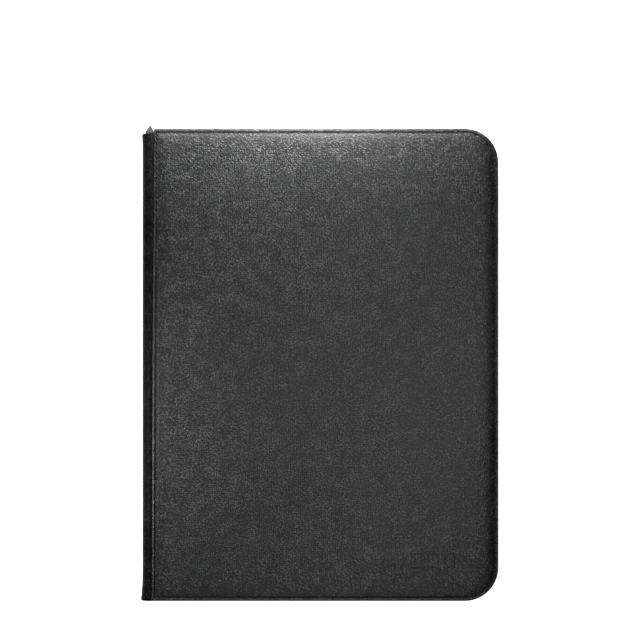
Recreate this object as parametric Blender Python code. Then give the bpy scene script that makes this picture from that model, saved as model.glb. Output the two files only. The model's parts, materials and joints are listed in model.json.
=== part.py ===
"""Zip-round trading card binder: two padded covers and a spine in leatherette, a coil zip round
three sides, and twenty nine-pocket leaves welded to a strip inside the spine.

Metres, +Z up. The binder lies closed on its back cover: +Y is the head, +X the fore edge, and the
spine is at -X. The covers are mirror images about the mid-plane, so each layer is described by its
depth from its own cover's outer face."""

import math

import bmesh
import bpy
from mathutils import Vector

# Driving dimensions
WIDTH = 0.266
HEIGHT = 0.353
THICKNESS = 0.038
CORNER = 0.025  # fore-edge corners, in plan
LEAF_COUNT = 20
CORNER_STEPS = 6

# Spine and its two hinges
SPINE_RADIUS = 0.0065  # roll of the leatherette from the spine onto a cover
EDGE_DROP = 0.0012  # how far a cover's padded face falls towards its edges
SKIN = 0.0008  # leatherette
GAP = 0.0003
HINGE_X = -WIDTH / 2 + SPINE_RADIUS
REAR_HINGE_Z = EDGE_DROP + SPINE_RADIUS
FRONT_HINGE_Z = THICKNESS - REAR_HINGE_Z
SPINE_HEAD = HEIGHT / 2 - 0.0035
SPINE_FOOT = -HEIGHT / 2 + 0.0020
MID_Z = THICKNESS / 2

# Zip: insets from the covers' outline, outermost first
ZIP_BRIDGE = 0.0005
ZIP_PULL_AXIS = 0.0017
ZIP_PLATE = 0.0022
ZIP_COIL = 0.0034
ZIP_TAPE = 0.0056
TAPE_THICKNESS = 0.0006
COIL_THICKNESS = 0.0020
ROW_GAP = 0.0016  # between the two coil rows, where the slider's post runs
COIL_DEPTH = 0.0020
TAPE_START_X = HINGE_X + 0.0021
COIL_START_X = -0.106
SLIDER_X = -0.0985
SLIDER_LENGTH = 0.010

# The path round the covers' edges: its last point, and the zip tape's five lengths on it
PATH_END = 3 + 2 * CORNER_STEPS
TAPE_LENGTHS = {
    "foot": (0, 1),
    "foot_corner": (1, 1 + CORNER_STEPS),
    "fore_edge": (1 + CORNER_STEPS, 2 + CORNER_STEPS),
    "head_corner": (2 + CORNER_STEPS, 2 + 2 * CORNER_STEPS),
    "head": (2 + 2 * CORNER_STEPS, PATH_END),
}

# Leaves
LEAF_PITCH = 0.00125
LEAF_AXIS_X = HINGE_X + 0.0020
LEAF_WIDTH = 0.241
LEAF_HEIGHT = 0.300
LEAF_MARGIN = 0.018
SHEET = 0.0002
POCKET_BULGE = 0.00025
POCKET_WIDTH, POCKET_HEIGHT, WELD = 0.069, 0.094, 0.004


def clear_scene():
    for item in list(bpy.data.objects):
        bpy.data.objects.remove(item, do_unlink=True)


def material(name, colour, roughness, metallic=0.0):
    made = bpy.data.materials.new(name)
    made.use_nodes = True
    shader = made.node_tree.nodes["Principled BSDF"]
    shader.inputs["Base Color"].default_value = (*colour, 1.0)
    shader.inputs["Roughness"].default_value = roughness
    shader.inputs["Metallic"].default_value = metallic
    return made


def pivot(name, location, parent=None):
    """An empty on a joint's axis."""
    made = bpy.data.objects.new(name, None)
    bpy.context.collection.objects.link(made)
    made.location = location
    if parent:
        made.parent = parent
        made.matrix_parent_inverse.identity()
        made.location = [a - b for a, b in zip(location, ORIGINS[parent.name])]
    ORIGINS[name] = tuple(location)
    return made


ORIGINS = {}


def node(name, mesh, finish, parent, smooth=False):
    """One sub-part. Its mesh is in world coordinates, moved back by its parent's origin."""
    made = bpy.data.objects.new(name, mesh)
    bpy.context.collection.objects.link(made)
    made.parent = parent
    made.location = [-value for value in ORIGINS[parent.name]]
    if not mesh.materials:
        mesh.materials.append(finish)
    if smooth:
        mesh.shade_smooth()
        mesh.set_sharp_from_angle(angle=math.radians(35))
    return made


def mesh_of(name, shape):
    bmesh.ops.recalc_face_normals(shape, faces=shape.faces)
    mesh = bpy.data.meshes.new(name)
    shape.to_mesh(mesh)
    shape.free()
    return mesh


def box_mesh(name, low, high, bevel=0.0):
    """A block between two corners, with its long edges eased."""
    shape = bmesh.new()
    bmesh.ops.create_cube(shape, size=1.0)
    for vertex in shape.verts:
        vertex.co = [lo + (value + 0.5) * (hi - lo) for lo, hi, value in zip(low, high, vertex.co)]
    if bevel:
        bmesh.ops.bevel(
            shape, geom=shape.edges[:], offset=bevel, segments=2, profile=0.5, affect="EDGES"
        )
    return mesh_of(name, shape)


def extruded(name, outline, axis, start, end):
    """A flat outline run along an axis: 0 for X, 1 for Y, 2 for Z."""
    shape = bmesh.new()
    ends = []
    for place in (start, end):
        loop = []
        for point in outline:
            spot = list(point)
            spot.insert(axis, place)
            loop.append(shape.verts.new(spot))
        ends.append(loop)
    for i in range(len(outline)):
        j = (i + 1) % len(outline)
        shape.faces.new((ends[0][i], ends[0][j], ends[1][j], ends[1][i]))
    shape.faces.new(ends[0])
    shape.faces.new(ends[1])
    return mesh_of(name, shape)


def u_path(inset, start_x):
    """Plan points from the spine end of the foot edge, round the fore edge, to the head edge."""
    radius = max(CORNER - inset, 0.001)
    right = WIDTH / 2 - inset - radius
    top = HEIGHT / 2 - inset - radius
    points = [(start_x, -HEIGHT / 2 + inset)]
    for side, first in ((-1, -90), (1, 0)):
        for step in range(CORNER_STEPS + 1):
            angle = math.radians(first + 90 * step / CORNER_STEPS)
            points.append(
                (right + radius * math.cos(angle), side * top + radius * math.sin(angle))
            )
    points.append((start_x, HEIGHT / 2 - inset))
    return points


def stretch_of(path, first, last):
    """Part of a path: a straight stretch stops a little short of the corner beside it."""
    points = [Vector(point) for point in path[first:last + 1]]
    if len(points) == 2:
        short = (points[1] - points[0]).normalized() * GAP
        if first > 0:
            points[0] += short
        if last < len(path) - 1:
            points[1] -= short
    return points


def plate_mesh(name, rings, facing):
    """A cover layer lofted through rings of (inset, spine-side offset, depth)."""
    shape = bmesh.new()
    loops = []
    for inset, offset, depth in rings:
        height = THICKNESS - depth if facing > 0 else depth
        plan = u_path(inset, HINGE_X + offset)
        loops.append([shape.verts.new((x, y, height)) for x, y in plan])
    for lower, upper in zip(loops, loops[1:]):
        for i in range(len(lower)):
            j = (i + 1) % len(lower)
            shape.faces.new((lower[i], lower[j], upper[j], upper[i]))
    shape.faces.new(loops[0])
    shape.faces.new(loops[-1])
    return mesh_of(name, shape)


def edge_run(name, profile, start_x, facing, first=0, last=PATH_END):
    """A strip along the covers' edges: a profile of (inset, depth) swept between two points of
    the path round the foot, fore and head edges."""
    shape = bmesh.new()
    lines = []
    for inset, depth in profile:
        height = THICKNESS - depth if facing > 0 else depth
        plan = stretch_of(u_path(inset, start_x), first, last)
        lines.append([shape.verts.new((x, y, height)) for x, y in plan])
    count = len(lines)
    for a in range(count):
        first, second = lines[a], lines[(a + 1) % count]
        for i in range(len(first) - 1):
            shape.faces.new((first[i], first[i + 1], second[i + 1], second[i]))
    shape.faces.new([line[0] for line in lines])
    shape.faces.new([line[-1] for line in lines])
    return mesh_of(name, shape)


# Cover layers, as (inset, spine-side offset, depth), in millimetres
SKIN_RINGS_MM = (
    (10.0, 8.0, 0.0), (7.0, 6.0, 0.12), (5.0, 4.4, 0.4), (3.4, 3.0, 0.85), (2.2, 1.7, 1.45),
    (1.2, 1.25, 1.2), (0.4, 1.1, 1.4), (0.0, 1.0, 1.9), (0.0, 1.0, 3.3), (0.4, 1.1, 3.9),
    (5.2, 1.4, 3.9), (5.2, 1.4, 3.35), (0.9, 1.8, 3.35), (0.9, 1.8, 2.35), (2.2, 2.3, 2.25),
    (3.4, 3.3, 1.7), (5.0, 4.7, 1.2), (7.0, 6.1, 0.92), (10.0, 8.1, 0.8),
)
FOAM_RINGS_MM = ((10.0, 8.2, 1.0), (8.0, 6.8, 1.12), (6.6, 5.3, 1.4), (6.6, 5.3, 2.8))
BOARD_RINGS_MM = ((6.6, 2.2, 3.0), (6.6, 2.2, 4.8))
LINING_RINGS_MM = ((6.5, 1.2, 5.0), (6.5, 1.2, 5.5))
FLANGE_MM = (1.2, 2.55, 3.1)  # outer inset, top and bottom depth of the tape's sewn edge
STITCH_MM = (2.2, 1.0, 0.3)  # inset of the line, depth of the thread's middle, half its size


def metres(rings):
    return [tuple(value / 1000 for value in ring) for ring in rings]


def tape_profile():
    """The zip tape: sewn flat under the leatherette, then turned down to the coil."""
    outer, top, bottom = (value / 1000 for value in FLANGE_MM)
    inner = ZIP_TAPE + TAPE_THICKNESS
    edge = MID_Z - ROW_GAP / 2
    return [
        (outer, top), (inner, top), (inner, edge),
        (ZIP_TAPE, edge), (ZIP_TAPE, bottom), (outer, bottom),
    ]


def coil_profile():
    """One row of the zip's coil, eight-sided, beside the tape's edge."""
    middle = (ZIP_COIL + COIL_THICKNESS / 2, MID_Z - ROW_GAP / 2 - COIL_DEPTH / 2)
    half = (COIL_THICKNESS / 2, COIL_DEPTH / 2)
    points = []
    for step in range(8):
        angle = math.radians(22.5 + 45 * step)
        stretch = 1 / math.cos(math.radians(22.5))
        points.append(tuple(
            centre + size * stretch * turn
            for centre, size, turn in zip(middle, half, (math.cos(angle), math.sin(angle)))
        ))
    return points


def thread_profile():
    inset, depth, half = (value / 1000 for value in STITCH_MM)
    points = []
    for step in range(6):
        angle = math.radians(60 * step)
        points.append((inset + half * math.cos(angle), depth + 0.5 * half * math.sin(angle)))
    return points


def build_cover(side, facing, parent, finish):
    skin = plate_mesh(f"{side}_cover_leatherette", metres(SKIN_RINGS_MM), facing)
    node(skin.name, skin, finish["leatherette"], parent, smooth=True)
    inner_layers = {"foam": FOAM_RINGS_MM, "board": BOARD_RINGS_MM, "lining": LINING_RINGS_MM}
    for layer, rings in inner_layers.items():
        mesh = plate_mesh(f"{side}_cover_{layer}", metres(rings), facing)
        node(mesh.name, mesh, finish[layer], parent)
    for place, (first, last) in TAPE_LENGTHS.items():
        name = f"{side}_zip_tape_{place}"
        tape = edge_run(name, tape_profile(), TAPE_START_X, facing, first, last)
        node(name, tape, finish["tape"], parent)
    coil = edge_run(f"{side}_zip_coil", coil_profile(), COIL_START_X, facing)
    node(coil.name, coil, finish["coil"], parent, smooth=True)
    thread = edge_run(f"{side}_edge_stitching", thread_profile(), HINGE_X + 0.0026, facing)
    node(thread.name, thread, finish["thread"], parent, smooth=True)
    build_seam_stitching(side, facing, parent, finish)
    build_zip_stops(side, facing, parent, finish)


def build_seam_stitching(side, facing, parent, finish):
    """The row that joins a cover's leatherette to the spine's."""
    middle, half = STITCH_MM[1] / 1000, STITCH_MM[2] / 1000
    outline = []
    for step in range(6):
        angle = math.radians(60 * step)
        depth = middle + 0.5 * half * math.sin(angle)
        height = THICKNESS - depth if facing > 0 else depth
        outline.append((HINGE_X + 0.0017 + half * math.cos(angle), height))
    reach = HEIGHT / 2 - 0.0030
    mesh = extruded(f"{side}_seam_stitching", outline, 1, -reach, reach)
    node(mesh.name, mesh, finish["thread"], parent, smooth=True)


def build_zip_stops(side, facing, parent, finish):
    """The metal clips that end each coil row, at the head and at the foot."""
    low_depth = MID_Z - ROW_GAP / 2 - COIL_DEPTH - 0.0002
    high_depth = MID_Z - ROW_GAP / 2
    heights = sorted(THICKNESS - d if facing > 0 else d for d in (low_depth, high_depth))
    for end, sign in (("head", 1), ("foot", -1)):
        ys = sorted(
            sign * (HEIGHT / 2 - inset) for inset in (ZIP_COIL, ZIP_COIL + COIL_THICKNESS)
        )
        low = (COIL_START_X - 0.0026, ys[0], heights[0])
        high = (COIL_START_X - GAP, ys[1], heights[1])
        mesh = box_mesh(f"{side}_zip_stop_{end}", low, high, bevel=0.0003)
        node(mesh.name, mesh, finish["metal"], parent)


def hinge_fold(name, centre_z, rising, parent, finish):
    """The leatherette rolled over from the spine, as a quarter ring and a short flat lap."""
    steps = 8
    outer, inner = [], []
    for radius, line in ((SPINE_RADIUS, outer), (SPINE_RADIUS - SKIN, inner)):
        for step in range(steps + 1):
            angle = math.radians(90 * step / steps)
            across, along = radius * math.cos(angle), radius * math.sin(angle)
            line.append((HINGE_X - across, centre_z + rising * along))
        line.append((HINGE_X + 0.0007, centre_z + rising * radius))
    mesh = extruded(name, outer + inner[::-1], 1, SPINE_FOOT, SPINE_HEAD)
    node(name, mesh, finish["leatherette"], parent, smooth=True)


def build_spine(parent, finish):
    low_z, high_z = REAR_HINGE_Z + GAP, FRONT_HINGE_Z - GAP
    face = -WIDTH / 2
    board = face + SKIN + 0.0002
    lining = board + 0.0020
    strip = lining + 0.0007
    block = strip + 0.0012
    spine_ends = (SPINE_FOOT, SPINE_HEAD)
    leaf_ends = (-LEAF_HEIGHT / 2, LEAF_HEIGHT / 2)
    layers = (
        ("spine_leatherette", (face, face + SKIN), spine_ends, 0.0, 0.0, "leatherette"),
        ("spine_board", (board, board + 0.0018), spine_ends, 0.002, 0.0003, "board"),
        ("spine_lining", (lining, lining + 0.0005), spine_ends, 0.004, 0.0003, "lining"),
        ("binding_strip", (strip, strip + 0.0010), leaf_ends, 0.0, 0.0006, "strip"),
        ("leaf_weld_block", (block, LEAF_AXIS_X - 0.0004), leaf_ends, 0.0, -0.001, "strip"),
    )
    for name, (near, far), (foot, head), shorter, narrower, slot in layers:
        low = (near, foot + shorter, low_z + narrower)
        high = (far, head - shorter, high_z - narrower)
        node(name, box_mesh(name, low, high), finish[slot], parent)
    hinge_fold("front_hinge_fold", FRONT_HINGE_Z, 1, parent, finish)
    hinge_fold("rear_hinge_fold", REAR_HINGE_Z, -1, parent, finish)
    build_gussets(parent, finish, low_z + 0.0005, high_z - 0.0005)


def build_gussets(parent, finish, low_z, high_z):
    """Folded fabric that closes the spine's head, standing a little proud, and its foot."""
    left, right, tip = HINGE_X - 0.0040, HINGE_X + 0.0020, HINGE_X - 0.0005
    base, point, half_tip = SPINE_HEAD + GAP, HEIGHT / 2 + 0.0025, 0.0004
    head = [
        (left, base), (right, base), (right, base + 0.0022),
        (tip + half_tip, point), (tip - half_tip, point), (left, base + 0.0016),
    ]
    top = SPINE_FOOT - GAP
    bottom = top - 0.0008
    foot = [(left, top), (right, top), (right, bottom), (left, bottom)]
    for name, outline in (("head_gusset", head), ("foot_gusset", foot)):
        node(name, extruded(name, outline, 2, low_z, high_z), finish["tape"], parent)


def leaf_mesh():
    """A nine-pocket leaf about its hinge line: a thin sheet with a flat pocket in each cell,
    on both faces."""
    columns = [0.00015, LEAF_MARGIN]
    for _ in range(3):
        columns += [columns[-1] + POCKET_WIDTH, columns[-1] + POCKET_WIDTH + WELD]
    columns[-1] = LEAF_WIDTH
    spare = (LEAF_HEIGHT - 3 * POCKET_HEIGHT - 2 * WELD) / 2
    rows = [-LEAF_HEIGHT / 2, -LEAF_HEIGHT / 2 + spare]
    for _ in range(3):
        rows += [rows[-1] + POCKET_HEIGHT, rows[-1] + POCKET_HEIGHT + WELD]
    rows[-1] = LEAF_HEIGHT / 2
    shape = bmesh.new()
    pockets = []
    grids = {}
    for side in (1, -1):
        grid = [[shape.verts.new((x, y, side * SHEET / 2)) for y in rows] for x in columns]
        grids[side] = grid
        for i in range(len(columns) - 1):
            for j in range(len(rows) - 1):
                corners = (grid[i][j], grid[i + 1][j], grid[i + 1][j + 1], grid[i][j + 1])
                face = shape.faces.new(corners)
                if i % 2 == 1 and j % 2 == 1:
                    pockets.append((face, side))
    last_x, last_y = len(columns) - 1, len(rows) - 1
    rim = [(i, 0) for i in range(last_x)] + [(last_x, j) for j in range(last_y)]
    rim += [(i, last_y) for i in range(last_x, 0, -1)] + [(0, j) for j in range(last_y, 0, -1)]
    for (i, j), (k, m) in zip(rim, rim[1:] + rim[:1]):
        shape.faces.new((grids[1][i][j], grids[1][k][m], grids[-1][k][m], grids[-1][i][j]))
    bmesh.ops.recalc_face_normals(shape, faces=shape.faces)
    for face, side in pockets:
        raised = bmesh.ops.extrude_discrete_faces(shape, faces=[face])["faces"][0]
        for vertex in raised.verts:
            vertex.co.z += side * POCKET_BULGE
    return mesh_of("leaf", shape)


def build_leaves(parent, finish):
    mesh = leaf_mesh()
    for number in range(1, LEAF_COUNT + 1):
        name = f"leaf_{number:02d}"
        height = MID_Z + (number - (LEAF_COUNT + 1) / 2) * LEAF_PITCH
        place = (LEAF_AXIS_X, 0.0, height)
        made = bpy.data.objects.new(name, mesh)
        bpy.context.collection.objects.link(made)
        made.parent = parent
        made.location = [a - b for a, b in zip(place, ORIGINS[parent.name])]
    mesh.materials.append(finish["leaf"])


def build_slider(finish, parent):
    """The zip's slider: an outer and an inner plate joined by a post between the coil rows, a
    wing round the rear row, and a bridge for the pull."""
    inner_plate = ZIP_TAPE + TAPE_THICKNESS + 0.0002
    wing_end = ZIP_COIL + COIL_THICKNESS - 0.0002
    body_half, post_half = 0.0042, 0.0005
    wing_top = MID_Z - ROW_GAP / 2 - COIL_DEPTH - 0.0003
    section_insets = (
        (ZIP_PLATE, MID_Z - body_half), (wing_end, MID_Z - body_half), (wing_end, wing_top),
        (ZIP_PLATE + 0.0010, wing_top), (ZIP_PLATE + 0.0010, MID_Z - post_half),
        (inner_plate, MID_Z - post_half), (inner_plate, MID_Z - body_half),
        (inner_plate + 0.0009, MID_Z - body_half), (inner_plate + 0.0009, MID_Z + body_half),
        (inner_plate, MID_Z + body_half), (inner_plate, MID_Z + post_half),
        (ZIP_PLATE + 0.0010, MID_Z + post_half), (ZIP_PLATE + 0.0010, MID_Z + body_half),
        (ZIP_PLATE, MID_Z + body_half),
    )
    section = [(HEIGHT / 2 - inset, z) for inset, z in section_insets]
    low, high = SLIDER_X - SLIDER_LENGTH / 2, SLIDER_X + SLIDER_LENGTH / 2
    body = node("zip_slider", extruded("zip_slider", section, 0, low, high), finish["metal"], parent)
    foot = HEIGHT / 2 - ZIP_PLATE - 0.0003
    under, top = HEIGHT / 2 - 0.0012, HEIGHT / 2 - ZIP_BRIDGE
    inside, outside, shoulder = 0.0022, 0.0032, 0.0026
    arch = [
        (SLIDER_X - outside, foot), (SLIDER_X - outside, under), (SLIDER_X - shoulder, top),
        (SLIDER_X + shoulder, top), (SLIDER_X + outside, under), (SLIDER_X + outside, foot),
        (SLIDER_X + inside, foot), (SLIDER_X + inside, under), (SLIDER_X - inside, under),
        (SLIDER_X - inside, foot),
    ]
    bridge_mesh = extruded("bridge", arch, 2, MID_Z - 0.0010, MID_Z + 0.0010)
    boolean(body, node("bridge", bridge_mesh, finish["metal"], parent), "UNION")


def boolean(thing, tool, operation):
    tool.hide_render = True
    tool.display_type = "WIRE"
    modifier = thing.modifiers.new(tool.name, "BOOLEAN")
    modifier.operation = operation
    modifier.object = tool


def build_pull(finish, parent):
    """The pull tab, flat against the slider: an eye round the bridge and a long rounded tab."""
    middle_y = HEIGHT / 2 - ZIP_PULL_AXIS
    half = 0.0003
    outline = [(-0.0003, -0.0026), (0.0060, -0.0026), (0.0220, -0.0032)]
    for step in range(1, 6):
        angle = math.radians(-90 + 30 * step)
        outline.append((0.0220 + 0.0020 * math.cos(angle), 0.0032 * math.sin(angle)))
    outline += [(0.0220, 0.0032), (0.0060, 0.0026), (-0.0003, 0.0026)]
    eye = [(0.0003, -0.0014), (0.0044, -0.0014), (0.0044, 0.0014), (0.0003, 0.0014)]
    tab_mesh = pull_plate("zip_pull", outline, middle_y - half, middle_y + half)
    eye_mesh = pull_plate("eye", eye, middle_y - 2 * half, middle_y + 2 * half)
    tab = node("zip_pull", tab_mesh, finish["metal"], parent)
    boolean(tab, node("eye", eye_mesh, finish["metal"], parent), "DIFFERENCE")


def pull_plate(name, outline, start, end):
    placed = [(SLIDER_X + along, MID_Z + across) for along, across in outline]
    return extruded(name, placed, 1, start, end)


def finishes():
    return {
        "leatherette": material("black leatherette", (0.035, 0.035, 0.036), 0.5),
        "foam": material("grey foam", (0.25, 0.25, 0.26), 0.9),
        "board": material("grey board", (0.32, 0.29, 0.25), 0.85),
        "lining": material("black lining", (0.02, 0.02, 0.02), 0.8),
        "tape": material("black tape", (0.025, 0.022, 0.023), 0.85),
        "coil": material("black nylon coil", (0.02, 0.02, 0.02), 0.4),
        "thread": material("black thread", (0.015, 0.015, 0.015), 0.6),
        "strip": material("black polypropylene", (0.02, 0.02, 0.02), 0.45),
        "leaf": material("clear pocket film on black", (0.05, 0.05, 0.055), 0.25),
        "metal": material("gunmetal", (0.12, 0.12, 0.125), 0.35, 1.0),
    }


def main():
    clear_scene()
    finish = finishes()
    rear = pivot("back_cover", (0.0, 0.0, 0.0))
    spine = pivot("rear_hinge", (HINGE_X, 0.0, REAR_HINGE_Z), rear)
    front = pivot("front_hinge", (HINGE_X, 0.0, FRONT_HINGE_Z), spine)
    slide = pivot("zip_slide", (SLIDER_X, HEIGHT / 2 - ZIP_PLATE, MID_Z), rear)
    swing = pivot("pull_swing", (SLIDER_X, HEIGHT / 2 - ZIP_PULL_AXIS, MID_Z), slide)
    build_cover("back", -1, rear, finish)
    build_cover("front", 1, front, finish)
    build_spine(spine, finish)
    build_leaves(spine, finish)
    build_slider(finish, slide)
    build_pull(finish, swing)


main()
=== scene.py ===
"""Looks of a zip-round trading card binder: grained leatherette over foam, sewn edges, coil zip
and pocket leaves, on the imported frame. Metres; +Y is the head, +X the fore edge, +Z up."""
import json
import math
from bisect import bisect_left

import bpy
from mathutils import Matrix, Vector, noise


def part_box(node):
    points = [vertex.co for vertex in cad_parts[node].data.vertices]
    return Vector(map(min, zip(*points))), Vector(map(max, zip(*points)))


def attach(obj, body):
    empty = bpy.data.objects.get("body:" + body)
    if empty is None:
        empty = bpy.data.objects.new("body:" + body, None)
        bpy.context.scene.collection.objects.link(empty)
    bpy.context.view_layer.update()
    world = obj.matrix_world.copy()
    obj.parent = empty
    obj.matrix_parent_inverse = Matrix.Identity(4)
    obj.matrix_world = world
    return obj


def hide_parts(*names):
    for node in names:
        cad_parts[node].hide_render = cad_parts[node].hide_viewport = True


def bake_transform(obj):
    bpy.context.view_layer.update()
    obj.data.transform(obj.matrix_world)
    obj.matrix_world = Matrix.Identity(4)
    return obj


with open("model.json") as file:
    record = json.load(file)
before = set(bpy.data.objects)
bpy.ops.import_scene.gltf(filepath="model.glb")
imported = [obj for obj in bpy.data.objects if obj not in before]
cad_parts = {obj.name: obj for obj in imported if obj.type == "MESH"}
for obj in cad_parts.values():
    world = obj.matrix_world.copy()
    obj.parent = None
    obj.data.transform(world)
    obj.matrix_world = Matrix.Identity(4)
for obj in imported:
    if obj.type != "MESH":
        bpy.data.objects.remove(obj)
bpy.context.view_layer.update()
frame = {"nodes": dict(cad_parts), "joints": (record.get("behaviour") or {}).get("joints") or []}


def box(name):
    low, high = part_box(name)
    return Vector(low), Vector(high)


# Places and sizes read from the frame
FRONT_LOW, FRONT_HIGH = box("front_cover_leatherette")
THICKNESS = FRONT_HIGH.z
HALF_WIDTH = FRONT_HIGH.x
HALF_HEIGHT = FRONT_HIGH.y
MID_Z = THICKNESS / 2
JOINTS = {joint["name"]: joint for joint in frame["joints"]}
HINGE_X, _, FRONT_HINGE_Z = JOINTS["front_hinge"]["pos_m"]
REAR_HINGE_Z = JOINTS["rear_hinge"]["pos_m"][2]
SPINE_LOW, SPINE_HIGH = box("spine_leatherette")
ROLL = HINGE_X - SPINE_LOW.x
SEAM = FRONT_LOW.x - HINGE_X
SEAM_X = HINGE_X + SEAM

# Sizes of the fine surface
MM = 0.001
CORNER = 0.025
SPINE_FOOT = SPINE_LOW.y - 0.0021
STITCH_INSET = 0.0027
STITCH_PITCH = 0.0037
STITCH_START = SEAM_X + 0.0022
THREAD_RADIUS = 0.00048
SEAM_SHARE = 0.75
HEAD_SLANT, FOOT_SLANT = 0.0012, 0.0005


# ---------------------------------------------------------------- mesh helpers

def piece(name, points, faces, finish, body=None, smooth=True, angle=40):
    mesh = bpy.data.meshes.new(name)
    mesh.from_pydata([tuple(point) for point in points], [], faces)
    mesh.update()
    made = bpy.data.objects.new(name, mesh)
    bpy.context.collection.objects.link(made)
    mesh.materials.append(finish)
    if smooth:
        mesh.shade_smooth()
        mesh.set_sharp_from_angle(angle=math.radians(angle))
    if body:
        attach(made, body)
    return made


def loft(loops, closed=True, caps=True):
    """Points and faces of a skin through loops of equal length."""
    count = len(loops[0])
    points = [point for loop in loops for point in loop]
    faces = []
    for k in range(len(loops) - 1):
        for i in range(count if closed else count - 1):
            j = (i + 1) % count
            faces.append((k * count + i, k * count + j, (k + 1) * count + j, (k + 1) * count + i))
    if caps:
        faces.append(tuple(reversed(range(count))))
        faces.append(tuple((len(loops) - 1) * count + i for i in range(count)))
    return points, faces


def tube(centres, ups, radii, sides):
    """A round thread through its centres; each ring starts at its own up direction."""
    loops = []
    last = len(centres) - 1
    for i, (centre, up, radius) in enumerate(zip(centres, ups, radii)):
        along = (centres[min(i + 1, last)] - centres[max(i - 1, 0)]).normalized()
        across = along.cross(up).normalized()
        lift = across.cross(along)
        loops.append([
            centre + radius * (math.cos(turn) * lift + math.sin(turn) * across)
            for turn in (2 * math.pi * side / sides for side in range(sides))
        ])
    return loft(loops)


def joined(parts):
    points, faces = [], []
    for some_points, some_faces in parts:
        base = len(points)
        points += some_points
        faces += [tuple(base + i for i in face) for face in some_faces]
    return points, faces


def flipped(faces):
    return [tuple(reversed(face)) for face in faces]


def edge_path(inset, start_x, step=0.004, arc_steps=14):
    """Plan points and outward normals along the foot, fore and head edges."""
    radius = max(CORNER - inset, 0.001)
    right, top = HALF_WIDTH - inset - radius, HALF_HEIGHT - inset - radius
    across, along = round(2 * HALF_WIDTH / step), round(2 * HALF_HEIGHT / step)

    def run(start, end, normal, count):
        return [(start.lerp(end, i / count), normal) for i in range(count)]

    def arc(centre, first):
        turns = [math.radians(first + 90 * i / arc_steps) for i in range(arc_steps)]
        rays = [Vector((math.cos(turn), math.sin(turn))) for turn in turns]
        return [(centre + radius * ray, ray) for ray in rays]

    foot, fore, head = Vector((0, -1)), Vector((1, 0)), Vector((0, 1))
    path = run(Vector((start_x, -top - radius)), Vector((right, -top - radius)), foot, across)
    path += arc(Vector((right, -top)), -90)
    path += run(Vector((right + radius, -top)), Vector((right + radius, top)), fore, along)
    path += arc(Vector((right, top)), 0)
    path += run(Vector((right, top + radius)), Vector((start_x, top + radius)), head, across)
    path.append((Vector((start_x, top + radius)), head))
    return path


def edge_closed(loop, count):
    """Adds the spine-side run of a cover loop, head to foot, so that every loop is a full ring."""
    head, foot = loop[-1], loop[0]
    return loop + [head.lerp(foot, i / count) for i in range(1, count)]


def travels(path):
    """How far along the path each of its points is."""
    reach = [0.0]
    for (a, _), (b, _) in zip(path, path[1:]):
        reach.append(reach[-1] + (b - a).length)
    return reach


def walker(path):
    """Gives a function from a distance along the path to its point and normal, and the whole length."""
    reach = travels(path)

    def at(distance):
        i = max(0, min(bisect_left(reach, distance) - 1, len(path) - 2))
        span = reach[i + 1] - reach[i] or 1.0
        part = (distance - reach[i]) / span
        normal = path[i][1].lerp(path[i + 1][1], part).normalized()
        return path[i][0].lerp(path[i + 1][0], part), normal

    return at, reach[-1]


# ---------------------------------------------------------------- materials

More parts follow.
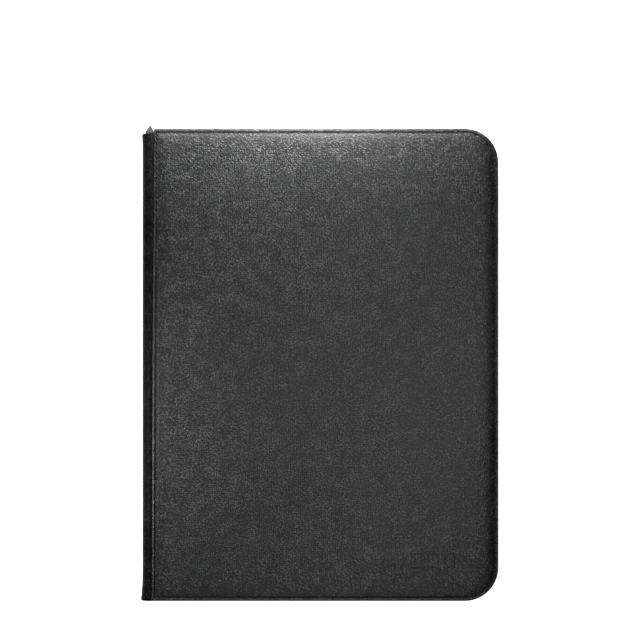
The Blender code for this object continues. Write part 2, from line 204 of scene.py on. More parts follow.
class Nodes:
    """Small wrapper that builds one procedural material."""

    def __init__(self, name, colour, roughness, metallic=0.0, specular=0.5):
        self.material = bpy.data.materials.new(name)
        self.material.use_nodes = True
        self.tree = self.material.node_tree
        self.shader = self.tree.nodes["Principled BSDF"]
        self.shader.inputs["Base Color"].default_value = (*colour, 1)
        self.shader.inputs["Roughness"].default_value = roughness
        self.shader.inputs["Metallic"].default_value = metallic
        self.shader.inputs["Specular IOR Level"].default_value = specular
        self.place = self.new("ShaderNodeTexCoord").outputs["Object"]
        self.bump_normal = None

    def new(self, kind, **settings):
        made = self.tree.nodes.new(kind)
        for key, value in settings.items():
            setattr(made, key, value)
        return made

    def link(self, source, target):
        self.tree.links.new(source, target)

    def noise(self, scale, detail=3.0, roughness=0.55, place=None):
        made = self.new("ShaderNodeTexNoise")
        made.inputs["Scale"].default_value = scale
        made.inputs["Detail"].default_value = detail
        made.inputs["Roughness"].default_value = roughness
        self.link(place or self.place, made.inputs["Vector"])
        return made.outputs["Fac"]

    def cells(self, scale, randomness=1.0, place=None):
        made = self.new("ShaderNodeTexVoronoi", feature="F1")
        made.inputs["Scale"].default_value = scale
        made.inputs["Randomness"].default_value = randomness
        self.link(place or self.place, made.inputs["Vector"])
        return made.outputs["Distance"]

    def math(self, operation, *values):
        made = self.new("ShaderNodeMath", operation=operation)
        for socket, value in zip(made.inputs, values):
            if isinstance(value, (int, float)):
                socket.default_value = value
            else:
                self.link(value, socket)
        return made.outputs[0]

    def stretch(self, value, low, high, start=0.0, end=1.0):
        made = self.new("ShaderNodeMapRange")
        made.inputs["From Min"].default_value = low
        made.inputs["From Max"].default_value = high
        made.inputs["To Min"].default_value = start
        made.inputs["To Max"].default_value = end
        self.link(value, made.inputs["Value"])
        return made.outputs["Result"]

    def axes(self):
        split = self.new("ShaderNodeSeparateXYZ")
        self.link(self.place, split.inputs[0])
        return split.outputs[0], split.outputs[1], split.outputs[2]

    def colours(self, factor, first, second):
        ramp = self.new("ShaderNodeValToRGB")
        ramp.color_ramp.elements[0].color = (*first, 1)
        ramp.color_ramp.elements[1].color = (*second, 1)
        self.link(factor, ramp.inputs[0])
        self.link(ramp.outputs[0], self.shader.inputs["Base Color"])

    def bump(self, height, distance, strength=1.0):
        made = self.new("ShaderNodeBump")
        made.inputs["Distance"].default_value = distance
        made.inputs["Strength"].default_value = strength
        self.link(height, made.inputs["Height"])
        if self.bump_normal:
            self.link(self.bump_normal, made.inputs["Normal"])
        self.bump_normal = made.outputs[0]
        self.link(self.bump_normal, self.shader.inputs["Normal"])


def leather_grain(made):
    """Fine pebbles under a millimetre, drawn into short slanting wrinkles."""
    warp = made.new("ShaderNodeVectorMath", operation="SCALE")
    wobble = made.new("ShaderNodeTexNoise")
    wobble.inputs["Scale"].default_value = 240
    made.link(made.place, wobble.inputs["Vector"])
    made.link(wobble.outputs["Color"], warp.inputs[0])
    warp.inputs["Scale"].default_value = 0.0005
    moved = made.new("ShaderNodeVectorMath", operation="ADD")
    made.link(made.place, moved.inputs[0])
    made.link(warp.outputs[0], moved.inputs[1])
    slant = made.new("ShaderNodeMapping", vector_type="TEXTURE")
    slant.inputs["Rotation"].default_value = (0, 0, math.radians(-52))
    slant.inputs["Scale"].default_value = (2.0, 0.85, 1.0)
    made.link(moved.outputs[0], slant.inputs["Vector"])
    pebbles = made.cells(690, 0.65, moved.outputs[0])
    dome = made.stretch(pebbles, 0.1, 0.65, 1.0, 0.0)
    wrinkles = made.noise(1150, 0.0, 0.5, slant.outputs[0])
    patches = made.stretch(made.noise(110, 1.0), 0.35, 0.65, 0.55, 1.0)
    folded = made.math("MULTIPLY", made.stretch(wrinkles, 0.3, 0.7, 0.0, 1.0), patches)
    height = made.math("ADD", made.math("MULTIPLY", dome, 0.6), made.math("MULTIPLY", folded, 0.5))
    made.bump(height, 0.00022, 1.0)
    made.bump(made.noise(40, 2.0), 0.0006, 0.3)
    return height


def card_mark(made):
    """A generic debossed row of four plain card outlines near the foot of the front cover."""
    x, y, _ = made.axes()
    centre_x, centre_y, pitch = 0.0785, -0.1470, 0.0125
    half_x, half_y, line = 0.0036, 0.0050, 0.00045
    lines = None
    for number in range(4):
        middle = centre_x + (number - 1.5) * pitch
        across = made.math("SUBTRACT", made.math("ABSOLUTE", made.math("SUBTRACT", x, middle)), half_x)
        along = made.math("SUBTRACT", made.math("ABSOLUTE", made.math("SUBTRACT", y, centre_y)), half_y)
        outline = made.math("ABSOLUTE", made.math("SMOOTH_MAX", across, along, 0.0012))
        lines = outline if lines is None else made.math("MINIMUM", lines, outline)
    return made.stretch(lines, line, line * 1.9, 0.0, 1.0)


def painted_edge_light_and_shade(made):
    """Painted light near the sewn edges, as a specular multiplier: a painted highlight on the rim, painted
    shade in the stitch groove and just inside it, and painted shade in bands along the fore edge and beside
    the seam.
    """
    x, y, _ = made.axes()
    across = made.math("MAXIMUM", made.math("SUBTRACT", x, HALF_WIDTH - CORNER), 0.0)
    along = made.math("MAXIMUM", made.math("SUBTRACT", made.math("ABSOLUTE", y), HALF_HEIGHT - CORNER), 0.0)
    square = made.math("ADD", made.math("MULTIPLY", across, across), made.math("MULTIPLY", along, along))
    inset = made.math("SUBTRACT", CORNER, made.math("SQRT", square))
    slant = made.stretch(y, -HALF_HEIGHT, HALF_HEIGHT, -FOOT_SLANT, HEAD_SLANT)
    beside = made.math("SUBTRACT", made.math("SUBTRACT", x, SEAM_X), slant)
    seam = made.math("DIVIDE", beside, SEAM_SHARE)
    nearest = made.math("MINIMUM", inset, seam)
    # Painted highlight: more specular on the rim.
    rim = made.stretch(nearest, 0.0016, 0.0021, 1.7, 1.0)
    # Painted shade: less specular in the stitch groove.
    off_line = made.math("ABSOLUTE", made.math("SUBTRACT", nearest, STITCH_INSET))
    groove = made.stretch(off_line, 0.0004, 0.0011, 0.3, 1.0)
    # Painted shade: less specular in bands along the fore edge and beside the seam, where the pad turns
    # away from the light.
    fore = made.stretch(x, HALF_WIDTH - 0.011, HALF_WIDTH - 0.006, 1.0, 0.5)
    spine = made.stretch(x, SEAM_X + 0.003, SEAM_X + 0.012, 0.75, 1.0)
    return made.math("MULTIPLY", made.math("MULTIPLY", rim, groove), made.math("MULTIPLY", fore, spine))


def leatherette(name, marked=False, specular=0.28, edges=True, pale=0.015):
    """Black leatherette with painted shade in the folds of its grain: dark and dull in the folds, paler and
    shinier on the pebbles.
    """
    made = Nodes(name, (0.012, 0.012, 0.012), 0.38, specular=specular)
    height = leather_grain(made)
    cloud = made.noise(18, 3.0)
    # Colour by grain height times a random cloud: painted shade, darker in the folds than on the pebble
    # tops.
    crease_shade_and_tone = made.math("MULTIPLY", height, made.stretch(cloud, 0.3, 0.7, 0.8, 1.1))
    folds, tops = (0.0008, 0.0008, 0.0009), (pale, pale * 1.02, pale * 1.01)
    made.colours(made.stretch(crease_shade_and_tone, 0.35, 0.95), folds, tops)
    uneven = made.math("ADD", made.noise(900, 1.0), made.math("MULTIPLY", height, 0.4))
    rough = made.stretch(uneven, 0.4, 1.1, 0.42, 0.34)
    # Painted shade in the creases: less specular in the grain's folds than on the pebbles.
    specular_with_painted_light = made.stretch(height, 0.35, 0.95, 0.5 * specular, 1.25 * specular)
    # Painted highlight on the rim and painted shade along the sewn edges, through the specular strength.
    if edges:
        specular_with_painted_light = made.math("MULTIPLY", specular_with_painted_light, painted_edge_light_and_shade(made))
    made.link(specular_with_painted_light, made.shader.inputs["Specular IOR Level"])
    if marked:
        mark = card_mark(made)
        made.bump(mark, 0.00034, 0.9)
        rough = made.math("ADD", rough, made.stretch(mark, 0.0, 1.0, 0.03, 0.0))
    made.link(rough, made.shader.inputs["Roughness"])
    return made.material


def woven(name, dark, light, pitch, twill=1.0):
    """Cloth of crossing threads: a twill when the diagonal is on."""
    made = Nodes(name, light, 0.85, specular=0.25)
    made.shader.inputs["Sheen Weight"].default_value = 0.15
    x, y, z = made.axes()
    count = 2 * math.pi / pitch
    lean = made.math("MULTIPLY", z, twill)
    warp = made.math("SINE", made.math("MULTIPLY", made.math("ADD", x, lean), count))
    weft = made.math("SINE", made.math("MULTIPLY", made.math("ADD", y, lean), count))
    weave = made.stretch(made.math("MULTIPLY", warp, weft), -1, 1, 0, 1)
    fuzz = made.noise(2600, 2.0)
    height = made.math("ADD", made.math("MULTIPLY", weave, 0.8), made.math("MULTIPLY", fuzz, 0.4))
    made.colours(height, dark, light)
    made.bump(height, pitch * 0.35, 0.9)
    return made.material


def thread_material():
    made = Nodes("thread_black", (0.02, 0.02, 0.02), 0.65, specular=0.12)
    strands = made.noise(3500, 2.0)
    made.colours(strands, (0.001, 0.001, 0.001), (0.008, 0.008, 0.008))
    made.bump(strands, 0.00008)
    return made.material


def nylon():
    made = Nodes("coil_nylon", (0.02, 0.02, 0.021), 0.32, specular=0.5)
    made.colours(made.noise(900), (0.01, 0.01, 0.011), (0.03, 0.03, 0.031))
    made.bump(made.noise(1800), 0.00003)
    return made.material


def gunmetal():
    made = Nodes("zip_gunmetal", (0.11, 0.11, 0.115), 0.32, metallic=1.0)
    wear = made.noise(140, 4.0)
    made.colours(wear, (0.05, 0.05, 0.053), (0.2, 0.195, 0.19))
    made.link(made.stretch(made.noise(700), 0.3, 0.7, 0.26, 0.42), made.shader.inputs["Roughness"])
    made.bump(made.noise(1600), 0.00003)
    return made.material


def moulded_plastic():
    made = Nodes("binding_polypropylene", (0.02, 0.02, 0.02), 0.45)
    made.colours(made.noise(60), (0.012, 0.012, 0.012), (0.028, 0.028, 0.028))
    made.bump(made.noise(2200), 0.00005)
    return made.material


def board_material():
    made = Nodes("grey_board", (0.3, 0.27, 0.23), 0.9, specular=0.2)
    fibres = made.noise(900, 5.0)
    made.colours(fibres, (0.2, 0.18, 0.15), (0.38, 0.35, 0.3))
    made.bump(fibres, 0.0001)
    return made.material


def foam_material():
    made = Nodes("grey_foam", (0.2, 0.2, 0.21), 0.95, specular=0.1)
    pores = made.cells(1500)
    made.colours(pores, (0.1, 0.1, 0.11), (0.28, 0.28, 0.29))
    made.bump(pores, 0.0002)
    return made.material


def pocket_film():
    """Clear film over a black sheet: glossy, with faint ripples and dust."""
    made = Nodes("pocket_film", (0.02, 0.02, 0.022), 0.18, specular=0.5)
    made.shader.inputs["Coat Weight"].default_value = 0.6
    made.shader.inputs["Coat Roughness"].default_value = 0.08
    made.colours(made.noise(30, 4.0), (0.012, 0.012, 0.014), (0.035, 0.036, 0.04))
    made.link(made.stretch(made.noise(220, 3.0), 0.3, 0.7, 0.12, 0.3), made.shader.inputs["Roughness"])
    made.bump(made.noise(28, 2.0), 0.0006, 0.5)
    made.bump(made.noise(240, 2.0), 0.00004, 0.5)
    return made.material


def weld_film():
    """The welded seams between pockets: milky and finely knurled."""
    made = Nodes("weld_film", (0.07, 0.07, 0.075), 0.4, specular=0.5)
    x, y, _ = made.axes()
    count = 2 * math.pi / 0.0009
    knurl = made.math("MULTIPLY", made.math("SINE", made.math("MULTIPLY", x, count)),
                      made.math("SINE", made.math("MULTIPLY", y, count)))
    made.colours(made.stretch(knurl, -1, 1, 0, 1), (0.03, 0.03, 0.033), (0.12, 0.12, 0.125))
    made.bump(knurl, 0.00008)
    return made.material


FINISH = {
    "leatherette": leatherette("leatherette_black"),
    # The spine's finish is a darker, duller copy of the cover's leatherette without the edge mask: painted
    # shade where the spine turns away from the light.
    "spine": leatherette("leatherette_spine_painted_shade", specular=0.035, edges=False, pale=0.008),
    "marked": leatherette("leatherette_front", marked=True),
    "lining": woven("lining_cloth", (0.008, 0.008, 0.009), (0.035, 0.035, 0.037), 0.0006, 0.0),
    "tape": woven("zip_tape_twill", (0.012, 0.011, 0.012), (0.05, 0.046, 0.048), 0.0009),
    "gusset": woven("gusset_cloth", (0.010, 0.008, 0.0085), (0.034, 0.027, 0.029), 0.0007),
    "thread": thread_material(),
    "coil": nylon(),
    "metal": gunmetal(),
    "plastic": moulded_plastic(),
    "board": board_material(),
    "foam": foam_material(),
    "film": pocket_film(),
    "weld": weld_film(),
}


# ---------------------------------------------------------------- covers

# Outer face of a padded cover: (inset, depth) in mm from the rim's side to the pad's middle
RIM_MM = (
    (5.2, 3.35), (5.2, 3.9), (1.2, 3.95), (0.6, 3.9), (0.25, 3.7), (0.06, 3.4), (0.0, 3.0), (0.0, 2.5),
    (0.06, 2.05), (0.22, 1.7), (0.5, 1.4), (0.9, 1.22), (1.4, 1.15), (1.9, 1.2), (2.2, 1.34),
    (2.45, 1.56), (2.7, 1.72), (3.0, 1.66), (3.3, 1.44), (3.7, 1.2), (4.3, 1.02), (5.2, 0.87),
    (6.2, 0.76), (7.6, 0.65), (9.5, 0.54), (12.0, 0.42), (16.0, 0.29), (22.0, 0.17), (30.0, 0.09),
    (42.0, 0.03), (58.0, 0.0), (78.0, 0.0), (100.0, 0.0), (120.0, 0.0),
)
WALL_MM = 3.2  # points deeper than this are on the rim's side and underside
TOP_MM = 2.0  # points less deep than this are on the padded face


def pad_wave(x, y, inset, side):
    """Slow unevenness of leatherette over foam, fading out towards the sewn edge."""
    fade = min(1.0, max(0.0, (inset - 0.003) / 0.02))
    slow = noise.noise(Vector((x * 14 + side * 9, y * 14, 3.0)))
    quick = noise.noise(Vector((x * 45, y * 45 + side * 4, 7.0)))
    return fade * (0.00022 * slow + 0.00006 * quick) - 0.00012 * fade


def slanted(point):
    """The seam beside the spine runs a little out of square, towards the fore edge at the head."""
    fade = min(1.0, max(0.0, 1 - (point.x - HINGE_X - SEAM) / 0.02))
    share = point.y / HALF_HEIGHT
    shift = HEAD_SLANT * share if share > 0 else FOOT_SLANT * share
    return Vector((point.x + fade * shift, point.y, point.z))


def sewn_pull(travel, inset):
    """Small puckers that the stitches pull into the leatherette: it stands up between two stitches."""
    height, reach = 0.00080, 0.0006
    near = math.exp(-(((inset - STITCH_INSET - 0.0002) / reach) ** 2))
    between = 0.5 + 0.5 * math.cos(2 * math.pi * travel / STITCH_PITCH)
    return height * near * between ** 2.5


def seam_steps():
    """Distances along the seam beside the spine, eight to a stitch."""
    count = round(2 * HALF_HEIGHT / STITCH_PITCH * 8)
    return [2 * HALF_HEIGHT * i / count for i in range(count)]


def cover_skin(side, facing, finish):
    """A cover's leatherette: loops of one profile, from the turned-in edge to the pad's middle."""
    loops = []
    step = 0.0005
    along_stitches = travels(edge_path(STITCH_INSET, STITCH_START, step))
    for inset_mm, depth_mm in RIM_MM:
        inset, depth = inset_mm * MM, depth_mm * MM
        spine_side = SEAM_X + max(0.0, inset - 0.0001) * SEAM_SHARE
        if depth_mm > WALL_MM:
            spine_side = SEAM_X + min(inset, 0.0012)
        loop = []
        for (spot, _), travel in zip(edge_path(inset, spine_side, step), along_stitches):
            lift = 0.0
            if depth_mm < TOP_MM:
                lift = pad_wave(spot.x, spot.y, inset, facing) + sewn_pull(travel, inset)
            height = THICKNESS - depth + lift if facing > 0 else depth - lift
            loop.append(Vector((spot.x, spot.y, height)))
        lifts = [facing * sewn_pull(travel, inset) if depth_mm < TOP_MM else 0.0 for travel in seam_steps()]
        closed = edge_closed(loop, len(lifts))
        for point, lift in zip(closed[len(loop):], lifts[1:]):
            point.z += lift
        loops.append([slanted(point) for point in closed])
    points, faces = loft(loops)
    if facing < 0:
        faces = flipped(faces)
    skin = piece(f"{side}_cover_skin", points, faces, finish, f"{side}_cover", angle=60)
    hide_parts(f"{side}_cover_leatherette")


def stitches(side, line, spots, up, length):
    """Separate lockstitches: each a short thread whose two ends dive into the leatherette."""
    dips = (-0.00055, -0.00005, 0.00012, 0.00016, 0.00012, -0.00005, -0.00055)
    parts = []
    for centre, along in spots:
        centres = [centre + along * length * (i / 6 - 0.5) + up * dip for i, dip in enumerate(dips)]
        parts.append(tube(centres, [up] * 7, [THREAD_RADIUS] * 7, 6))
    made = piece(f"{side}_{line}_stitches", *joined(parts), FINISH["thread"], f"{side}_cover")
    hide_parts(f"{side}_{line}_stitching")


def cover_stitching(side, facing):
    """The row of stitches round a cover's three edges and the one beside the spine."""
    up = Vector((0, 0, facing))
    depth = 0.00150
    height = THICKNESS - depth if facing > 0 else depth
    at, reach = walker(edge_path(STITCH_INSET, STITCH_START, step=0.002))
    spots = []
    for number in range(int(reach / STITCH_PITCH)):
        spot, normal = at((number + 0.5) * STITCH_PITCH)
        along = Vector((-normal.y, normal.x, 0))
        spots.append((slanted(Vector((spot.x, spot.y, height))), along))
    stitches(side, "edge", spots, up, 0.0027)
    seam_x = SEAM_X + SEAM_SHARE * STITCH_INSET
    count = int((2 * HALF_HEIGHT - 0.008) / STITCH_PITCH)
    heights = [HALF_HEIGHT - (number + 1.5) * STITCH_PITCH for number in range(count)]
    spots = [(slanted(Vector((seam_x, y, height))), Vector((0, 1, 0))) for y in heights]
    stitches(side, "seam", spots, up, 0.003)


# ---------------------------------------------------------------- spine

def end_stations():
    """Places along the spine's height, closer together where its ends are turned in."""
    low, high = SPINE_FOOT, SPINE_HIGH.y
    turn = 0.0016
    stations = []
    for step in range(6):
        angle = math.pi / 2 * step / 5
        stations.append((low + turn * (1 - math.cos(angle)), turn * (1 - math.sin(angle)) * 0.7))
    count = 60
    stations += [(low + turn + (high - low - 2 * turn) * i / count, 0.0) for i in range(1, count)]
    for step in range(5, -1, -1):
        angle = math.pi / 2 * step / 5
        stations.append((high - turn * (1 - math.cos(angle)), turn * (1 - math.sin(angle)) * 0.7))
    return stations


def flare(x, y):
    """The spine's leatherette stands out a little where it is turned in, most of all at the foot."""
    outward = max(0.0, (HINGE_X - x) / ROLL)
    foot = math.exp(-max(0.0, y - SPINE_FOOT - 0.004) / 0.005)
    head = math.exp(-max(0.0, SPINE_HIGH.y - 0.004 - y) / 0.004)
    return -outward * (0.0012 * foot + 0.0005 * head)


def lap_shift(x, y):
    """How far the seam's slant carries the part of the strip that laps onto the cover."""
    if x <= HINGE_X + 0.0001:
        return 0.0
    slant = slanted(Vector((SEAM_X, y, 0.0))).x - SEAM_X
    return slant * min(1.0, (x - HINGE_X) / SEAM)


def spine_strip(name, outline, finish):
    """A leatherette strip: outline(drop) gives its XZ section, drop deep at the turned-in ends."""
    loops = []
    for y, drop in end_stations():
        loops.append([Vector((x + flare(x, y) + lap_shift(x, y), y, z)) for x, z in outline(drop)])
    points, faces = loft(loops)
    return piece(name, points, faces, finish, angle=50)


def spine_pieces():
    """The spine's flat skin, and a leatherette fold and a cloth hinge at each cover."""
    thick = SPINE_HIGH.x - SPINE_LOW.x

    def flat(drop):
        steps = 10
        outer, inner = [], []
        for step in range(steps + 1):
            z = REAR_HINGE_Z + (FRONT_HINGE_Z - REAR_HINGE_Z) * step / steps
            outer.append((SPINE_LOW.x + drop, z))
            inner.append((SPINE_LOW.x + thick + drop * 0.3, z))
        return outer + inner[::-1]

    # The spine's finish is the darker copy of the leatherette: painted shade.
    made = spine_strip("spine_skin", flat, FINISH["spine"])
    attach(made, "spine")
    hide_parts("spine_leatherette")
    for name, centre_z, rising, cover in (
        ("front_fold_skin", FRONT_HINGE_Z, 1, "front_cover"),
        ("rear_fold_skin", REAR_HINGE_Z, -1, "back_cover"),
    ):
        fold_skin(name, centre_z, rising, thick)
        lining_fold(name.replace("skin", "lining"), centre_z, rising)


def fold_skin(name, centre_z, rising, thick):
    """The quarter-round leatherette hinge from the spine onto a cover."""
    def rolled(drop):
        outer, inner = [], []
        for radius, line in ((ROLL - drop, outer), (ROLL - thick - drop * 0.3, inner)):
            for step in range(13):
                angle = math.radians(90 * step / 12)
                out, over = radius * math.cos(angle), radius * math.sin(angle)
                line.append((HINGE_X - out, centre_z + rising * over))
            line.append((HINGE_X + SEAM * 0.5, centre_z + rising * (radius - 0.0001)))
            line.append((HINGE_X + SEAM * 0.96, centre_z + rising * (radius - 0.0004)))
        return outer + inner[::-1]

    # The spine's finish is the darker copy of the leatherette: painted shade.
    made = spine_strip(name, rolled, FINISH["spine"])
    if rising > 0:
        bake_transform(made)
    else:
        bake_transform(made)
    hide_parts("front_hinge_fold" if rising > 0 else "rear_hinge_fold")


def lining_fold(name, centre_z, rising):
    """The cloth hinge inside, from the spine's lining to the cover's."""
    spine_x = box("spine_lining")[1].x
    cover_z = box("front_cover_lining")[0].z if rising > 0 else box("back_cover_lining")[1].z
    start = Vector((spine_x, 0, centre_z - rising * 0.0006))
    end = Vector((HINGE_X + 0.0013, 0, cover_z + rising * 0.0002))
    bulge = Vector((spine_x - 0.0001, 0, cover_z + rising * 0.0001))
    centre = Vector((HINGE_X + 0.002, 0, centre_z))
    thick = 0.00035
    reach = HALF_HEIGHT - 0.0085
    loops = []
    for step in range(25):
        y = -reach + 2 * reach * step / 24
        outer, inner = [], []
        for part in (i / 10 for i in range(11)):
            spot = start * (1 - part) ** 2 + bulge * 2 * part * (1 - part) + end * part ** 2
            outer.append(Vector((spot.x, y, spot.z)))
            toward = (centre - spot).normalized() * thick
            inner.append(Vector((spot.x + toward.x, y, spot.z + toward.z)))
        loops.append(outer + inner[::-1])
    made = piece(name, *loft(loops), FINISH["lining"], angle=60)
    if rising > 0:
        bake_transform(made)
    else:
        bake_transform(made)


# ---------------------------------------------------------------- zip

def coil_row(side, facing):
    """A nylon coil: one helix along the edge, whose turns mesh with the other row's."""
    low, high = box(f"{side}_zip_coil")
    middle_inset = HALF_HEIGHT - high.y + 0.001
    pitch, wire = 0.0021, 0.00036
    half_in, half_z = 0.00075, 0.00150
    centre_z = MID_Z + facing * (half_z - 0.00028)
    at, reach = walker(edge_path(middle_inset, low.x, step=0.002))
    turns = int(reach / pitch)
    steps = 8
    shift = 0.0 if facing > 0 else pitch / 2
    centres, ups = [], []
    for number in range((turns - 1) * steps):
        travel = number / steps * pitch + shift
        angle = 2 * math.pi * number / steps
        spot, normal = at(travel + 0.18 * pitch * math.sin(2 * angle))
        out = Vector((normal.x, normal.y, 0))
        ray = out * (half_in * math.cos(angle)) + Vector((0, 0, half_z * math.sin(angle)))
        centres.append(Vector((spot.x, spot.y, centre_z)) + ray)
        ups.append(ray.normalized())
    coil = tube(centres, ups, [wire] * len(centres), 5)
    made = piece(f"{side}_coil_teeth", *coil, FINISH["coil"], f"{side}_cover", angle=80)
    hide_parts(f"{side}_zip_coil")


TAPE_LENGTHS = ("foot", "foot_corner", "fore_edge", "head_corner", "head")


def tape_section(low_z, rim_inset, wall_inset, edge_z):
    """The tape's middle line: flat under the leatherette, then down a round bend."""
    bend = 0.0012
    line = [(rim_inset, low_z), (rim_inset + 0.002, low_z), (wall_inset - bend, low_z)]
    for step in range(1, 6):
        turn = math.radians(90 * step / 5)
        line.append((wall_inset - bend + bend * math.sin(turn), low_z - bend * (1 - math.cos(turn))))
    below = line[-1][1]
    return line + [(wall_inset, below + (edge_z - below) * part / 8) for part in range(1, 9)]


def zip_tape(side, facing):
    """One half of the zip's tape, a woven strip sewn in under the cover's rim."""
    names = [f"{side}_zip_tape_{place}" for place in TAPE_LENGTHS]
    fore_low, fore_high = box(f"{side}_zip_tape_fore_edge")
    foot_low, _ = box(f"{side}_zip_tape_foot")
    half = 0.00022
    rim_inset = HALF_WIDTH - fore_high.x + half
    wall_inset = HALF_WIDTH - fore_low.x - 0.0003
    sewn_z = (fore_high.z if facing > 0 else THICKNESS - fore_low.z) - 0.00028
    edge_z = (fore_low.z if facing > 0 else THICKNESS - fore_high.z) + 0.0003
    centre = tape_section(sewn_z, rim_inset, wall_inset, edge_z)
    rails = []
    for line in (centre, centre[::-1]):
        for i, (inset, z) in enumerate(line):
            before, after = line[max(i - 1, 0)], line[min(i + 1, len(line) - 1)]
            along = Vector((after[0] - before[0], after[1] - before[1])).normalized()
            rails.append((inset - along.y * half, z + along.x * half))
    loops = []
    for inset, z in rails:
        path = edge_path(inset, foot_low.x, 0.003)
        travel, previous, loop = 0.0, path[0][0], []
        for spot, normal in path:
            travel += (spot - previous).length
            previous = spot
            down = (sewn_z - z) / (sewn_z - edge_z)
            sway = 0.00012 * down * noise.noise(Vector((travel * 35, 2.0 * facing, 0.0)))
            place = spot + normal * sway
            loop.append(Vector((place.x, place.y, z if facing > 0 else THICKNESS - z)))
        loops.append(loop)
    points, faces = loft([list(ring) for ring in zip(*loops)])
    if facing > 0:
        faces = flipped(faces)
    made = piece(f"{side}_zip_tape", points, faces, FINISH["tape"], f"{side}_cover")
    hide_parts(*names)
    length = walker(edge_path(wall_inset, foot_low.x, 0.003))[1]


def cover_lining(side, facing):
    """The cloth glued inside a cover, with its turned-in hem and a slight unevenness."""
    low, high = box(f"{side}_cover_lining")
    inset = HALF_WIDTH - high.x
    near = low.z if facing > 0 else high.z
    far = high.z if facing > 0 else low.z
    rows = (
        (0.0, 0.0), (0.0, 0.6), (0.15, 0.9), (0.5, 1.0), (3.2, 1.0), (3.6, 0.82), (4.0, 0.78),
        (8.0, 0.8), (20.0, 0.8), (45.0, 0.8), (80.0, 0.8), (110.0, 0.8),
    )
    loops = []
    for extra_mm, rise in rows:
        at = inset + extra_mm * MM
        start = low.x + extra_mm * MM
        loop = []
        for spot, _ in edge_path(at, start, 0.006):
            wave = 0.00005 * noise.noise(Vector((spot.x * 60, spot.y * 60, 11.0 * facing)))
            z = far + (near - far) * rise - (facing * wave if rise > 0.7 and extra_mm > 3 else 0.0)
            loop.append(Vector((spot.x, spot.y, z)))
        loops.append(edge_closed(loop, 24))
    points, faces = loft(loops)
    if facing > 0:
        faces = flipped(faces)
    made = piece(f"{side}_lining_cloth", points, faces, FINISH["lining"], f"{side}_cover", angle=60)
    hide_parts(f"{side}_cover_lining")


def eased(node_name, width, finish):
    """A CAD node kept as it is, with a better finish and soft edges."""
    thing = frame["nodes"][node_name]
    for holder in thing.material_slots:
        holder.material = finish
    edge = thing.modifiers.new("soft edges", "BEVEL")
    edge.width = width
    edge.segments = 2
    edge.limit_method = "ANGLE"
    edge.angle_limit = math.radians(35)


def paint(node_name, finish):
    for holder in frame["nodes"][node_name].material_slots:
        holder.material = finish


# ---------------------------------------------------------------- leaves

def leaf_breaks(first, pocket, weld=0.004, number=3):
    """Places of the pockets' edges along one direction, as (start, end) pairs."""
    pairs, start = [], first
    for _ in range(number):
        pairs.append((start, start + pocket))
        start += pocket + weld
    return pairs


def leaf_mesh():
    """A nine-pocket leaf about its own hinge line: soft pillows of film between welds."""
    low, high = box("leaf_01")
    columns = leaf_breaks(low.x + 0.01785, 0.069)
    rows = leaf_breaks(low.y + 0.005, 0.094)
    rim = 0.0009

    def cuts(start, pairs, end):
        values = [start]
        for a, b in pairs:
            values += [a, a + rim, a + 4 * rim]
            values += [a + (b - a) * part for part in (0.25, 0.5, 0.75)]
            values += [b - 4 * rim, b - rim, b]
        return values + [end]

    xs, ys = cuts(low.x, columns, high.x), cuts(low.y, rows, high.y)

    def rise(value, pairs):
        for a, b in pairs:
            if a <= value <= b:
                return min(1.0, (min(value - a, b - value) / rim) ** 0.5)
        return 0.0

    points, faces, kinds = [], [], []
    middle = (low.z + high.z) / 2
    sheet, bulge = 0.0001, 0.00024
    for sign in (1, -1):
        for x in xs:
            for y in ys:
                lift = min(rise(x, columns), rise(y, rows))
                ripple = 0.00002 * noise.noise(Vector((x * 90, y * 90, 5.0 * sign)))
                points.append(Vector((x, y, middle + sign * (sheet + lift * (bulge + ripple)))))
    many, layer = len(ys), len(xs) * len(ys)
    for sign, base in ((1, 0), (-1, layer)):
        for i in range(len(xs) - 1):
            for j in range(many - 1):
                corner = base + i * many + j
                quad = (corner, corner + many, corner + many + 1, corner + 1)
                faces.append(quad if sign > 0 else tuple(reversed(quad)))
                centre_x, centre_y = (xs[i] + xs[i + 1]) / 2, (ys[j] + ys[j + 1]) / 2
                kinds.append(0 if rise(centre_x, columns) and rise(centre_y, rows) else 1)
    border = [i * many for i in range(len(xs))]
    border += [(len(xs) - 1) * many + j for j in range(1, many)]
    border += [i * many + many - 1 for i in range(len(xs) - 2, -1, -1)]
    border += [j for j in range(many - 2, 0, -1)]
    for a, b in zip(border, border[1:] + border[:1]):
        faces.append((a, a + layer, b + layer, b))
        kinds.append(1)
    return points, faces, kinds


def leaves():
    """Twenty leaves of one shape, each on its own body."""
    points, faces, kinds = leaf_mesh()
    first_low, _ = box("leaf_01")
    names = [node for node in frame["nodes"] if node.startswith("leaf_") and node != "leaf_weld_block"]
    for name in sorted(names):
        shift = box(name)[0] - first_low
        placed = [point + shift for point in points]
        made = piece(f"{name}_pockets", placed, faces, FINISH["film"], name, angle=50)
        made.data.materials.append(FINISH["weld"])
        for face, kind in zip(made.data.polygons, kinds):
            face.material_index = kind
        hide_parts(name)


# ---------------------------------------------------------------- gussets

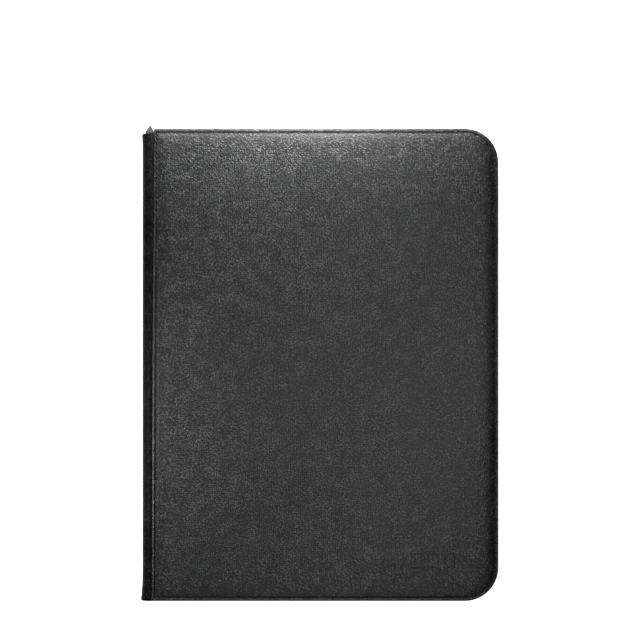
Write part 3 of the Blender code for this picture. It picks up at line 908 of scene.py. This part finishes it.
def gusset(name, sign, finish):
    """Folded cloth at an end of the spine: a soft wedge with a creased tip."""
    low, high = box(name)
    width, depth = high.x - low.x, high.y - low.y
    base_y = low.y if sign > 0 else high.y
    peak, spread = 0.58, 0.0007
    loops = []
    count = 16
    for step in range(count + 1):
        z = low.z + (high.z - low.z) * step / count
        fold = math.sin(math.pi * step / count) ** 0.35
        loop = []
        for part in (i / 12 for i in range(13)):
            x = low.x + width * part
            slope = part / peak if part < peak else (1 - part) / (1 - peak)
            shape = 0.04 + 0.96 * max(0.0, slope) ** 0.85
            reach = depth * shape * (1.12 + 0.08 * fold) if sign > 0 else depth * (0.7 + 0.3 * slope)
            loop.append(Vector((x - spread * (1 - part), base_y + sign * reach, z)))
        loop += [Vector((high.x, base_y, z)), Vector((low.x, base_y, z))]
        loops.append(loop)
    points, faces = loft(loops)
    if sign > 0:
        faces = flipped(faces)
    made = piece(f"{name}_cloth", points, faces, finish, "spine", angle=50)
    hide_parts(name)


# ---------------------------------------------------------------- assembly

def dress_cad():
    """Finishes on the CAD nodes that are kept as they are."""
    for side in ("front", "back"):
        paint(f"{side}_cover_foam", FINISH["foam"])
        paint(f"{side}_cover_board", FINISH["board"])
        for end in ("head", "foot"):
            eased(f"{side}_zip_stop_{end}", 0.0003, FINISH["metal"])
    paint("spine_board", FINISH["board"])
    paint("spine_lining", FINISH["lining"])
    eased("binding_strip", 0.0002, FINISH["plastic"])
    eased("leaf_weld_block", 0.0003, FINISH["plastic"])
    eased("zip_slider", 0.0003, FINISH["metal"])
    eased("zip_pull", 0.00015, FINISH["metal"])


def floor():
    """White paper under the binder, wide enough to fill the picture."""
    reach = 6.0
    corners = [(-reach, -reach, 0), (reach, -reach, 0), (reach, reach, 0), (-reach, reach, 0)]
    mesh = bpy.data.meshes.new("floor")
    mesh.from_pydata(corners, [], [(0, 1, 2, 3)])
    sheet = bpy.data.objects.new("floor", mesh)
    bpy.context.collection.objects.link(sheet)
    sheet.location.z = -0.0004
    paper = Nodes("floor_paper", (0.97, 0.97, 0.97), 0.9, specular=0.1)
    paper.bump(paper.noise(300), 0.00005)
    paper.shader.inputs["Emission Color"].default_value = (1, 1, 1, 1)
    paper.shader.inputs["Emission Strength"].default_value = 1.0
    mesh.materials.append(paper.material)


# Lamps above the front cover: name, place, the point it faces, size and power in watts
LAMPS = (
    ("head_light", (0.0, 0.200, 0.092), (0.0, 0.172, THICKNESS), (0.10, 0.02), 0.29),
    ("edge_light", (-0.04, 0.210, 0.095), (-0.04, 0.172, THICKNESS), (0.32, 0.015), 0.72),
    ("rim_light", (-0.03, 0.290, 0.290), (-0.03, 0.172, THICKNESS), (0.32, 0.04), 2.0),
    ("foot_light", (0.0, -0.270, 0.290), (0.0, -0.172, THICKNESS), (0.26, 0.05), 0.35),
    ("spine_light", (-0.265, -0.055, 0.29), (-0.12, -0.055, THICKNESS), (0.04, 0.05), 1.35),
    ("seam_light", (-0.36, -0.06, 0.13), (-0.125, -0.06, THICKNESS), (0.03, 0.12), 0.45),
    ("top_light", (0.03, 0.06, 0.70), (0.03, 0.05, 0), (0.15, 0.15), 0.75),
    ("glow_light", (0.102, -0.036, 0.50), (0.102, -0.036, THICKNESS), (0.07, 0.07), 1.15),
)


def lamp(name, place, aim, size, power):
    light = bpy.data.lights.new(name, "AREA")
    light.shape = "RECTANGLE"
    light.size, light.size_y = size
    light.energy = power
    made = bpy.data.objects.new(name, light)
    bpy.context.collection.objects.link(made)
    made.location = place
    made.visible_camera = False
    made.rotation_euler = (Vector(aim) - Vector(place)).to_track_quat("-Z", "Y").to_euler()


def sky():
    """Weak soft light all round, a little stronger towards the horizon."""
    world = bpy.data.worlds.new("studio")
    bpy.context.scene.world = world
    world.use_nodes = True
    tree = world.node_tree
    place = tree.nodes.new("ShaderNodeTexCoord")
    split = tree.nodes.new("ShaderNodeSeparateXYZ")
    ramp = tree.nodes.new("ShaderNodeMapRange")
    ramp.inputs["To Min"].default_value = 0.11
    ramp.inputs["To Max"].default_value = 0.09
    tree.links.new(place.outputs["Generated"], split.inputs[0])
    tree.links.new(split.outputs[2], ramp.inputs["Value"])
    tree.links.new(ramp.outputs["Result"], tree.nodes["Background"].inputs["Strength"])


def camera():
    """Straight above the front cover, head upwards; the picture is 478 mm wide at the cover."""
    lens, sensor, view_width = 300.0, 36.0, 0.4778
    data = bpy.data.cameras.new("camera")
    data.lens, data.sensor_width = lens, sensor
    made = bpy.data.objects.new("camera", data)
    bpy.context.collection.objects.link(made)
    made.location = (-0.0002, 0.03345, THICKNESS + view_width * lens / sensor)
    bpy.context.scene.camera = made
    bpy.context.scene.view_settings.view_transform = "Standard"


camera()
cover_skin("front", 1, FINISH["marked"])
cover_skin("back", -1, FINISH["leatherette"])
for side, facing in (("front", 1), ("back", -1)):
    cover_stitching(side, facing)
    cover_lining(side, facing)
    zip_tape(side, facing)
    coil_row(side, facing)
spine_pieces()
leaves()
gusset("head_gusset", 1, FINISH["gusset"])
gusset("foot_gusset", -1, FINISH["gusset"])
dress_cad()
floor()
for values in LAMPS:
    lamp(*values)
sky()
